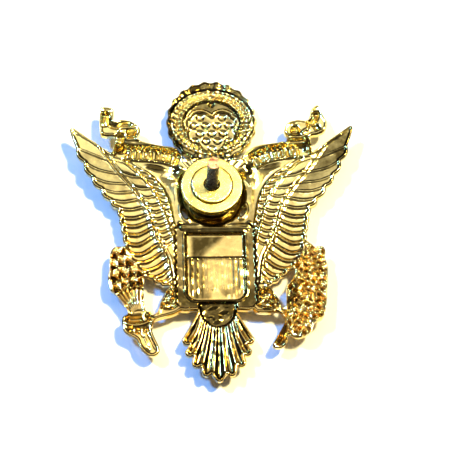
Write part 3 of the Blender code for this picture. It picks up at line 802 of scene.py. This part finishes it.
def lay_body():
    """The flanks, the shield, the lumpy root of the tail below it, and the hollow neck."""
    part, x, y = window([(-9.6, -22.4), (9.6, 14.6)], 0.2)
    lay_flanks(part, x, y)
    lay_shield(part, x, y)
    root = oval_distance(x, y, (0.2, -17.0), (3.9, 4.7))
    below = smooth_step(-y, 15.9, 16.3)
    rough = TAIL_ROOT_HEIGHT + 0.09 * waves(x, y, 1.7, 4)
    lay(part, rough, (1.0 - smooth_step(root, -0.5, 0.0)) * below)
    paint_tarnish_and_shade(part, 1.0, (1.0 - smooth_step(root, -0.3, 0.15)) * below)
    lay_neck(part, x, y)


def tail_lines():
    """The curved lines between the tail's feathers, and its two outer edges."""
    lines = []
    for i in range(TAIL_FEATHERS + 1):
        share = (2.0 * i - TAIL_FEATHERS) / (TAIL_FEATHERS - 1)
        turn = math.radians(TAIL_HALF_ANGLE * share * (1.05 if abs(share) > 1.0 else 1.0))
        length = TAIL_LENGTH * (1.0 - TAIL_DROP * abs(share) ** 1.3) + 0.4
        start = np.array([0.2 + 3.7 * math.sin(1.25 * share), -17.2 - 4.3 * math.cos(1.25 * share)])
        end = TAIL_ROOT + length * np.array([math.sin(turn), -math.cos(turn)])
        middle = (start + end) / 2.0 + (-0.45 * share, -0.2 * abs(share))
        lines.append([start, middle, end])
    return lines


def lay_tail():
    """Long curved scoops in a fan, each with a rounded end."""
    points = tail_outline()
    part, x, y = window(points, 0.5)
    across, width = strips(tail_lines(), x, y)
    inside = INSIDE[part]
    depth = np.minimum(0.3 * width, 0.6)
    leaned = np.where(x < 0.2, across, -across)
    bowl = np.sin(math.pi * ((1.0 - leaned) / 2.0) ** 0.75)
    height = rim_height(x, y) - 0.1 - depth * bowl * smooth_step(inside, 0.1, 0.8)
    # Painted shade in the hollow of each tail feather's scoop, towards its end
    hollow = bump(leaned + 0.2, 0.85) * smooth_step(-y, 18.6, 21.0) * smooth_step(inside, 0.3, 0.7)
    paint_tarnish_and_shade(part, 0.95, hollow)
    cover = smooth_step(-polygon_distance(points, x, y), -0.05, 0.2)
    lay(part, height, cover * (y < -17.4))


def softened(height):
    """One pass of smoothing, as a struck sheet has no knife edges."""
    padded = np.pad(height, 1, mode="edge")
    rows = (padded[:-2] + 2.0 * padded[1:-1] + padded[2:]) / 4.0
    return (rows[:, :-2] + 2.0 * rows[:, 1:-1] + rows[:, 2:]) / 4.0


def blurred(height, passes):
    """Many passes of softening."""
    for _ in range(passes):
        height = softened(height)
    return height


lay_arrows()
lay_branch()
lay_legs()
lay_wings()
lay_tail()
lay_ring()
lay_scrolls()
lay_body()
# The turned-up lip along every cut edge, and the worn corner outside it
back += 0.2 * bump(INSIDE - 0.3, 0.2) - 0.45 * smooth_step(-INSIDE, -0.24, 0.06)
back = softened(back) + 0.006 * waves(X, Y, 1.2, 1) + 0.022 * waves(X, Y, 2.6, 2)
back = np.maximum(back, SHEET)
slope_y, slope_x = np.gradient(back, STEP)
lean = np.sqrt(1.0 + slope_x**2 + slope_y**2)
front = np.maximum(softened(softened(back)) - SHEET * np.minimum(lean, 1.5), 0.0)
cavity = np.clip((blurred(back, 14) - back) / 0.35, -1.0, 1.0)


# ---- the sheet's mesh ----


def sheet_triangles():
    """Triangles that fill the outline, as the numbers of grid points and of cut grid edges."""
    rows, columns = X.shape
    inside = OUTSIDE < 0.0
    corner = [inside[:-1, :-1], inside[:-1, 1:], inside[1:, 1:], inside[1:, :-1]]
    case = sum(flag.astype(int) << bit for bit, flag in enumerate(corner))
    j, i = np.mgrid[0 : rows - 1, 0 : columns - 1]
    base = j * columns + i
    count = X.size
    vertex = {
        "c0": base,
        "c1": base + 1,
        "c2": base + columns + 1,
        "c3": base + columns,
        "e0": count + base,
        "e1": 2 * count + base + 1,
        "e2": count + base + columns,
        "e3": 2 * count + base,
    }
    flat = back[:-1, :-1], back[:-1, 1:], back[1:, 1:], back[1:, :-1]
    other_way = np.abs(flat[1] - flat[3]) < np.abs(flat[0] - flat[2])
    found = []
    for number in range(1, 16):
        loop = []
        for k in range(4):
            here, after = number >> k & 1, number >> ((k + 1) % 4) & 1
            if here:
                loop.append(f"c{k}")
            if here != after:
                loop.append(f"e{k}")
        chosen = case == number
        fans = [(loop, chosen)]
        if number == 15:
            fans = [(loop, chosen & ~other_way), (loop[1:] + loop[:1], chosen & other_way)]
        for order, cells in fans:
            for a, b in zip(order[1:], order[2:]):
                found.append(np.stack([vertex[key][cells] for key in (order[0], a, b)], 1))
    return np.vstack(found)


def sample(field, ids):
    """A grid field's values at the points, with edge points between their two grid points."""
    columns, count = X.shape[1], X.size
    values = field.ravel()
    outside = OUTSIDE.ravel()
    kind, place = ids // count, ids % count
    step = np.where(kind == 1, 1, np.where(kind == 2, columns, 0))
    other = np.minimum(place + step, count - 1)
    a, b = outside[place], outside[other]
    share = np.where(kind == 0, 0.0, a / np.where(a == b, 1.0, a - b))
    return values[place] + (values[other] - values[place]) * share


def placed(name, mesh, material):
    """A mesh's object, in the scene and with its material."""
    piece = bpy.data.objects.new(name, mesh)
    bpy.context.scene.collection.objects.link(piece)
    mesh.materials.append(material)
    return piece


def build_sheet(name, triangles, material):
    """One closed piece of the sheet: its back, its front and the wall round it."""
    ids, faces = np.unique(triangles, return_inverse=True)
    faces = faces.reshape(-1, 3)
    total = len(ids)
    fields = X, Y, back, front, slope_x, slope_y, tarnish_and_shade, cavity
    x, y, top, bottom, across, along, dark, deep = (sample(field, ids) for field in fields)
    edges = np.vstack([faces[:, [0, 1]], faces[:, [1, 2]], faces[:, [2, 0]]])
    key = np.sort(edges, axis=1) @ (total, 1)
    _, first, times = np.unique(key, return_index=True, return_counts=True)
    a, b = edges[first[times == 1]].T
    wall = np.vstack([np.stack([a + total, b + total, b], 1), np.stack([a + total, b, a], 1)])
    points = np.vstack([np.stack([x, y, top], 1), np.stack([x, y, bottom], 1)]) * MM
    every = np.vstack([faces, faces[:, ::-1] + total, wall])
    mesh = bpy.data.meshes.new(name)
    mesh.vertices.add(len(points))
    mesh.vertices.foreach_set("co", points.astype(np.float32).ravel())
    mesh.loops.add(every.size)
    mesh.loops.foreach_set("vertex_index", every.astype(np.int32).ravel())
    mesh.polygons.add(len(every))
    mesh.polygons.foreach_set("loop_start", np.arange(0, every.size, 3, dtype=np.int32))
    mesh.polygons.foreach_set("loop_total", np.full(len(every), 3, np.int32))
    mesh.update(calc_edges=True)
    mesh.validate()
    up = np.stack([-across, -along, np.ones(total)], 1)
    up /= np.linalg.norm(up, axis=1, keepdims=True)
    direction = points[b] - points[a]
    outward = np.stack([direction[:, 1], -direction[:, 0], np.zeros(len(a))], 1)
    outward /= np.maximum(np.linalg.norm(outward, axis=1, keepdims=True), 1e-12)
    normals = np.vstack([up[faces].reshape(-1, 3), -up[faces[:, ::-1]].reshape(-1, 3)])
    normals = np.vstack([normals, np.repeat(np.vstack([outward, outward]), 3, axis=0)])
    mesh.polygons.foreach_set("use_smooth", np.ones(len(every), bool))
    mesh.normals_split_custom_set(normals)
    for label, values in (("tarnish_and_shade", dark), ("cavity", deep)):
        attribute = mesh.attributes.new(label, "FLOAT", "POINT")
        attribute.data.foreach_set("value", np.tile(values, 2).astype(np.float32))
    return placed(name, mesh, material)


# ---- materials ----


class Nodes:
    """A short way to write the nodes of a material or of the world."""

    def __init__(self, owner, shader="Principled BSDF"):
        owner.use_nodes = True
        self.owner = owner
        self.tree = owner.node_tree
        self.shader = self.tree.nodes[shader]

    def add(self, kind, inputs=None, **settings):
        node = self.tree.nodes.new(kind)
        for key, value in settings.items():
            setattr(node, key, value)
        for key, value in (inputs or {}).items():
            self.plug(value, node.inputs[key])
        return node

    def plug(self, value, socket):
        if isinstance(value, bpy.types.NodeSocket):
            self.tree.links.new(value, socket)
        else:
            socket.default_value = value

    def shade(self, inputs):
        """Sets the shader's inputs, and gives back the material or world."""
        for key, value in inputs.items():
            self.plug(value, self.shader.inputs[key])
        return self.owner

    def place(self, space="Object"):
        return self.add("ShaderNodeTexCoord").outputs[space]

    def part(self, vector, axis):
        return self.add("ShaderNodeSeparateXYZ", {"Vector": vector}).outputs[axis]

    def noise(self, scale, detail=4.0, roughness=0.55):
        """Noise in the object's own metres, where scale is features per metre."""
        settings = {"Vector": self.place(), "Scale": scale, "Detail": detail}
        settings["Roughness"] = roughness
        return self.add("ShaderNodeTexNoise", settings).outputs["Fac"]

    def ramp(self, value, low, high, out_low=0.0, out_high=1.0):
        """A clamped remap of one number."""
        settings = {"Value": value, "From Min": low, "From Max": high}
        settings.update({"To Min": out_low, "To Max": out_high})
        return self.add("ShaderNodeMapRange", settings).outputs["Result"]

    def maths(self, operation, a, b, clamp=False):
        node = self.add("ShaderNodeMath", operation=operation, use_clamp=clamp)
        self.plug(a, node.inputs[0])
        self.plug(b, node.inputs[1])
        return node.outputs["Value"]

    def mix(self, share, a, b):
        """One colour turning into another."""
        node = self.add("ShaderNodeMix", data_type="RGBA")
        self.plug(share, node.inputs["Factor"])
        self.plug(a, node.inputs["A"])
        self.plug(b, node.inputs["B"])
        return next(o for o in node.outputs if o.type == "RGBA")

    def attribute(self, name):
        return self.add("ShaderNodeAttribute", attribute_name=name).outputs["Fac"]

    def bump(self, height, strength, distance):
        settings = {"Height": height, "Strength": strength, "Distance": distance}
        return self.add("ShaderNodeBump", settings).outputs["Normal"]


def gilt_material():
    """Polished gilt brass, more orange in patches and towards the bottom, darkened to bronze where
    real tarnish is and where shade is painted.
    """
    n = Nodes(bpy.data.materials.new("gilt_brass"))
    dark = n.attribute("tarnish_and_shade")
    deep = n.attribute("cavity")
    patch = n.noise(420.0, 5.0)
    grain = n.noise(5200.0, 3.0)
    lower = n.ramp(n.part(n.place(), "Y"), 0.010, -0.008)
    warm = n.maths("ADD", n.ramp(patch, 0.38, 0.66, -0.3, 0.3), lower, True)
    gold = n.mix(warm, (0.94, 0.77, 0.30, 1.0), (0.95, 0.66, 0.22, 1.0))
    soot = n.ramp(deep, 0.25, 0.95)
    tarnish_and_shade_share = n.maths("ADD", dark, n.ramp(patch, 0.3, 0.75, -0.25, 0.25), True)
    # Darkest bronze: real tarnish, and painted shade where the darkening stands for shade
    gold = n.mix(tarnish_and_shade_share, gold, (0.085, 0.058, 0.015, 1.0))
    gold = n.mix(n.maths("MULTIPLY", soot, 0.7), gold, (0.20, 0.12, 0.04, 1.0))
    polish = n.ramp(n.noise(900.0, 4.0), 0.3, 0.7, 0.10, 0.17)
    rough = n.maths("SUBTRACT", polish, n.maths("MULTIPLY", tarnish_and_shade_share, 0.04))
    relief = n.bump(grain, 0.15, 0.00001)
    return n.shade({"Base Color": gold, "Metallic": 1.0, "Roughness": rough, "Normal": relief})


# Colour, worn colour, roughness, grains per metre and grain depth in metres
FINISHES = {
    "nut_brass": ((0.93, 0.78, 0.25, 1.0), (0.88, 0.68, 0.14, 1.0), 0.19, 5000.0, 0.00007),
    "post_bronze": ((0.07, 0.07, 0.075, 1.0), (0.13, 0.11, 0.09, 1.0), 0.22, 7000.0, 0.00001),
    "post_cut": ((0.34, 0.12, 0.05, 1.0), (0.6, 0.3, 0.17, 1.0), 0.3, 4000.0, 0.00012),
    "plate_brass": ((0.34, 0.27, 0.13, 1.0), (0.2, 0.16, 0.08, 1.0), 0.45, 4000.0, 0.00004),
    "solder_grey": ((0.42, 0.40, 0.36, 1.0), (0.25, 0.23, 0.2, 1.0), 0.4, 2500.0, 0.00006),
}


def turned_metal(name):
    """One of the finishes, as patchy metal with a fine grain."""
    colour, worn, roughness, grain_scale, grain_depth = FINISHES[name]
    n = Nodes(bpy.data.materials.new(name))
    metal = n.mix(n.ramp(n.noise(500.0, 4.0), 0.35, 0.7), colour, worn)
    grain = n.noise(grain_scale, 4.0, 0.7)
    rough = n.ramp(grain, 0.3, 0.7, roughness - 0.08, roughness + 0.08)
    relief = n.bump(grain, 0.6, grain_depth)
    return n.shade({"Base Color": metal, "Metallic": 1.0, "Roughness": rough, "Normal": relief})


# ---- round pieces ----


def faced(name, points, faces, crease_angle, material):
    """A smooth piece with sharp edges above the crease angle, from points in metres."""
    mesh = bpy.data.meshes.new(name)
    mesh.from_pydata(points, [], faces)
    mesh.shade_smooth()
    mesh.set_sharp_from_angle(angle=math.radians(crease_angle))
    return placed(name, mesh, material)


def bands(rings, steps):
    """The faces between each two rings of steps points; the last ring may be the first again."""
    faces = []
    for this, following in zip(rings, rings[1:]):
        a, b = this * steps, following * steps
        for k in range(steps):
            m = (k + 1) % steps
            faces.append((a + k, b + k, b + m, a + m))
    return faces


def turned(name, profile, steps, material, radius_of=None, closed=True):
    """A solid of revolution about the post's axis, from (radius, height) points going round it."""
    rings = np.array(profile, float)
    angles = np.arange(steps) * math.tau / steps
    radius = np.repeat(rings[:, :1], steps, axis=1)
    height = np.repeat(rings[:, 1:], steps, axis=1)
    if radius_of:
        radius = radius_of(radius, height, angles[None, :])
    x = AXIS[0] + radius * np.cos(angles)
    y = AXIS[1] + radius * np.sin(angles)
    points = np.stack([x, y, height], -1).reshape(-1, 3) * MM
    count = len(rings)
    faces = bands(list(range(count)) + ([0] if closed else []), steps)
    if not closed:
        faces.append(tuple(range(steps)))
        faces.append(tuple(reversed(range((count - 1) * steps, count * steps))))
    return faced(name, points.tolist(), faces, 35.0, material)


post_low, post_high = corners("screw_post")
ring_low, ring_high = corners("nut_ring")
disc_low, disc_high = corners("nut_centre")
plate_low, plate_high = corners("post_plate")
AXIS = (post_low + post_high)[:2] / 2.0
POST_RADIUS = (post_high[0] - post_low[0]) / 2.0
POST_STEPS = 48
# The thread's pitch and core radius; the nut's knurls, the groove round its disc and its hole
PITCH = 0.53
CORE = 1.1
TEETH = 72
NUT_GROOVE = 0.25
HOLE = 1.36
SINK = 1.74


def build_ring(material):
    """The nut's outer ring, knurled on its edge and turned on its face."""
    outer = (ring_high[0] - ring_low[0]) / 2.0
    inner = (disc_high[0] - disc_low[0]) / 2.0 + NUT_GROOVE
    low, high = ring_low[2], ring_high[2]
    profile = [(inner + 0.1, high)]
    profile += [(inner + 0.1 + (outer - 0.35 - inner) * k / 12.0, high) for k in range(1, 13)]
    profile += [(outer - 0.12, high - 0.03), (outer - 0.05, high - 0.09), (outer, high - 0.2)]
    profile += [(outer, high - 0.2 - (high - low - 0.4) * k / 5.0) for k in range(1, 6)]
    profile += [(outer - 0.05, low + 0.09), (outer - 0.14, low), (inner + 0.1, low)]
    profile += [(inner, low + 0.1), (inner, high - 0.1)]

    def knurl(radius, height, angle):
        middle = smooth_step(height, low + 0.1, low + 0.3)
        middle = middle * (1.0 - smooth_step(height, high - 0.3, high - 0.1))
        edge = smooth_step(radius, outer - 0.06, outer - 0.01)
        return radius - 0.24 * middle * edge * (0.5 + 0.5 * np.cos(angle * TEETH)) ** 1.5

    piece = turned("thumb_nut_ring", profile, TEETH * 8, material, knurl)
    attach(piece, "nut")
    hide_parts("nut_ring")


def build_disc(material):
    """The nut's proud centre disc with its countersunk, threaded hole."""
    outer = (disc_high[0] - disc_low[0]) / 2.0
    low, high = disc_low[2], disc_high[2]
    profile = [(SINK + (outer - 0.12 - SINK) * k / 8.0, high) for k in range(9)]
    profile += [(outer - 0.03, high - 0.03), (outer, high - 0.12)]
    profile += [(outer, low + 0.1), (outer - 0.1, low), (HOLE + 0.14, low), (HOLE, low + 0.15)]
    turns = int((high - 0.45 - low - 0.15) / (PITCH / 4.0))
    for k in range(turns):
        z = low + 0.15 + (k + 0.5) * PITCH / 4.0
        profile.append((HOLE + (0.05 if k % 4 in (1, 2) else 0.0), z))
    profile += [(HOLE, high - 0.42), (SINK - 0.04, high - 0.05)]
    piece = turned("thumb_nut_disc", profile, 144, material)
    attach(piece, "nut")
    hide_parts("nut_centre")


def build_post(material):
    """The screw post, with a helical thread worn towards its end."""
    low, high = post_low[2], post_high[2]
    per_turn = 12
    rows = int((high - low) / PITCH * per_turn)
    profile = [(POST_RADIUS, z) for z in np.linspace(low, high - 0.12, rows)[::-1]]

    def thread(radius, height, angle):
        phase = (height / PITCH - angle / math.tau) % 1.0
        depth = np.abs(phase - 0.5) * 2.0
        worn = 1.0 - 0.6 * smooth_step(height, high - 0.9, high - 0.2)
        cut = (POST_RADIUS - CORE) * (0.15 + 0.85 * smooth_step(depth, 0.2, 0.85))
        return POST_RADIUS - cut * worn

    post = turned("screw_post_threaded", profile, POST_STEPS, material, thread, closed=False)
    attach(post, "badge")
    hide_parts("screw_post")


def build_cut_end(material):
    """The post's rough sawn end, a thin cap on the thread."""
    high = post_high[2]
    rng = np.random.default_rng(5)
    rings = 9
    points = []
    for r in range(rings + 1):
        skirt = r == rings
        radius = POST_RADIUS - 0.06 if skirt else (POST_RADIUS - 0.02) * (r / (rings - 1))
        for k in range(POST_STEPS):
            angle = k * math.tau / POST_STEPS
            x, y = radius * math.cos(angle), radius * math.sin(angle)
            rough = 0.03 * math.sin(x * 9.0 + 1.0) + 0.05 * math.sin(y * 5.0)
            rough += rng.uniform(-0.015, 0.015)
            z = high - 0.07 + rough * 0.7 - 0.1 * max(0.0, -y - 0.5)
            z = high - 0.22 if skirt else min(z, high)
            points.append(((AXIS[0] + x) * MM, (AXIS[1] + y) * MM, z * MM))
    faces = bands(list(range(rings + 1)), POST_STEPS)
    faces.append(tuple(reversed(range(rings * POST_STEPS, (rings + 1) * POST_STEPS))))
    end = faced("post_cut_end", points, faces, 50.0, material)
    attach(end, "badge")


def build_plate(material):
    """The plate under the nut, with a rolled edge."""
    radius = (plate_high[0] - plate_low[0]) / 2.0
    low, high = plate_low[2], plate_high[2]
    profile = [(0.02, high)] + [(radius * k / 9.0, high) for k in range(1, 9)]
    profile += [(radius - 0.12, high - 0.02), (radius - 0.03, high - 0.1), (radius, high - 0.2)]
    profile += [(radius, low + 0.1), (radius - 0.1, low), (0.02, low)]
    plate = turned("post_plate_turned", profile, 96, material)
    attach(plate, "badge")
    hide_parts("post_plate")


def build_bead(material, name, node, thick, steps):
    """A lumpy bead of solder round the post's axis, in the box of the CAD node."""
    low, high = corners(node)
    outer = (high[0] - low[0]) / 2.0
    rise = (high[2] - low[2]) / 2.0
    outline = []
    for k in range(10):
        angle = math.radians(90.0 - 36.0 * k)
        radius = outer - thick + thick * math.cos(angle)
        outline.append((radius, low[2] + rise * (1.0 + math.sin(angle))))

    def lumpy(radius, height, angle):
        swell = 0.05 * np.sin(angle * 5.0 + 1.0) + 0.035 * np.sin(angle * 11.0 + height * 4.0)
        return radius - 0.05 + swell * 0.5

    bead = turned(name, outline, steps, material, lumpy)
    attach(bead, "badge")
    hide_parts(node)


# ---- stage ----


# The room's light by height, from the horizon up to straight overhead
ROOM = [
    (0.0, (0.045, 0.04, 0.03, 1.0)),
    (0.55, (0.04, 0.035, 0.03, 1.0)),
    (0.92, (0.24, 0.23, 0.2, 1.0)),
    (1.0, (0.24, 0.23, 0.22, 1.0)),
]
BACKDROP = (0.95, 0.95, 0.95, 1.0)
TABLE_SIZE = 0.55


def build_floor():
    """A pale table top."""
    bpy.ops.mesh.primitive_plane_add(size=TABLE_SIZE, location=(0.0, 0.0, 0.0))
    floor = bpy.context.object
    floor.name = "floor"
    n = Nodes(bpy.data.materials.new("pale_table"))
    pale = n.mix(n.noise(9.0, 3.0), (0.86, 0.86, 0.86, 1.0), (0.90, 0.90, 0.90, 1.0))
    floor.data.materials.append(n.shade({"Base Color": pale, "Roughness": 0.8}))


def direction_at(azimuth, elevation):
    """The direction from the badge, where azimuth 0 is in front of it and 90 on its right."""
    a, e = math.radians(azimuth), math.radians(elevation)
    return Vector((math.sin(a) * math.cos(e), -math.cos(a) * math.cos(e), math.sin(e)))


def soft_box(name, azimuth, elevation, distance, size, power, colour):
    """A square soft light aimed at the badge."""
    light = bpy.data.lights.new(name, "AREA")
    light.shape = "SQUARE"
    light.size = size
    light.energy = power
    light.color = colour
    holder = bpy.data.objects.new(name, light)
    bpy.context.scene.collection.objects.link(holder)
    out = direction_at(azimuth, elevation)
    holder.location = out * distance
    holder.rotation_euler = out.to_track_quat("Z", "Y").to_euler()


# Each light's name, azimuth, elevation, distance, size, power and colour
LIGHTS = [
    ("warm_key", 120.0, 65.0, 0.6, 0.08, 6.8, (1.0, 0.84, 0.40)),
    ("cool_key", -118.0, 56.0, 0.6, 0.08, 4.2, (0.15, 0.42, 1.0)),
    ("back_panel", 180.0, 64.0, 0.8, 0.42, 0.52, (1.0, 0.98, 0.94)),
    ("small_panel", -160.0, 76.0, 0.8, 0.10, 0.13, (1.0, 0.98, 0.94)),
]


def build_light():
    """The lights, and a dim room that the camera sees as a pale backdrop."""
    for light in LIGHTS:
        soft_box(*light)
    scene = bpy.context.scene
    scene.world = bpy.data.worlds.new("room")
    n = Nodes(scene.world, "Background")
    ramp = n.add("ShaderNodeValToRGB", {"Fac": n.part(n.place("Generated"), "Z")})
    stops = ramp.color_ramp.elements
    stops[0].color = ROOM[0][1]
    stops[1].position, stops[1].color = ROOM[-1]
    for position, colour in ROOM[1:-1]:
        stops.new(position).color = colour
    seen = n.add("ShaderNodeLightPath").outputs["Is Camera Ray"]
    n.shade({"Color": n.mix(seen, ramp.outputs["Color"], BACKDROP), "Strength": 1.0})
    scene.view_settings.view_transform = "Standard"


def build_camera():
    """A long lens almost above the badge, leaning to its lower left."""
    distance, elevation, azimuth, roll = 0.300, 66.5, -8.0, -6.7
    target = Vector((2.30, -0.02, 3.0)) * MM
    data = bpy.data.cameras.new("camera")
    data.sensor_width = 36.0
    data.lens = 118.17
    data.clip_start = 0.01
    camera = bpy.data.objects.new("camera", data)
    bpy.context.scene.collection.objects.link(camera)
    out = direction_at(azimuth, elevation)
    a, r = math.radians(azimuth), math.radians(roll)
    right = Vector((math.cos(a), math.sin(a), 0.0))
    up = out.cross(right)
    turned_right = right * math.cos(r) - up * math.sin(r)
    turned_up = right * math.sin(r) + up * math.cos(r)
    basis = Matrix((turned_right, turned_up, out)).transposed()
    camera.matrix_world = Matrix.Translation(target + out * distance) @ basis.to_4x4()
    bpy.context.scene.camera = camera


# The sheet's middle piece reaches this far to each side
SPLIT = 9.1


def build_shell():
    """The struck sheet in three closed pieces that meet point for point."""
    material = gilt_material()
    triangles = sheet_triangles()
    x = sample(X, triangles[:, 0])
    regions = {"middle": np.abs(x) < SPLIT, "left": x <= -SPLIT, "right": x >= SPLIT}
    for side, chosen in regions.items():
        piece = build_sheet("struck_sheet_" + side, triangles[chosen], material)
        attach(piece, "badge")
        if side == "middle":
            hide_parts("eagle_shell")


build_shell()
nut_brass = turned_metal("nut_brass")
build_ring(nut_brass)
build_disc(nut_brass)
build_post(turned_metal("post_bronze"))
build_cut_end(turned_metal("post_cut"))
build_plate(turned_metal("plate_brass"))
solder_grey = turned_metal("solder_grey")
build_bead(solder_grey, "plate_solder_bead", "plate_solder", 0.42, 96)
build_bead(solder_grey, "post_solder_bead", "post_solder", 0.3, 48)
build_floor()
build_light()
build_camera()
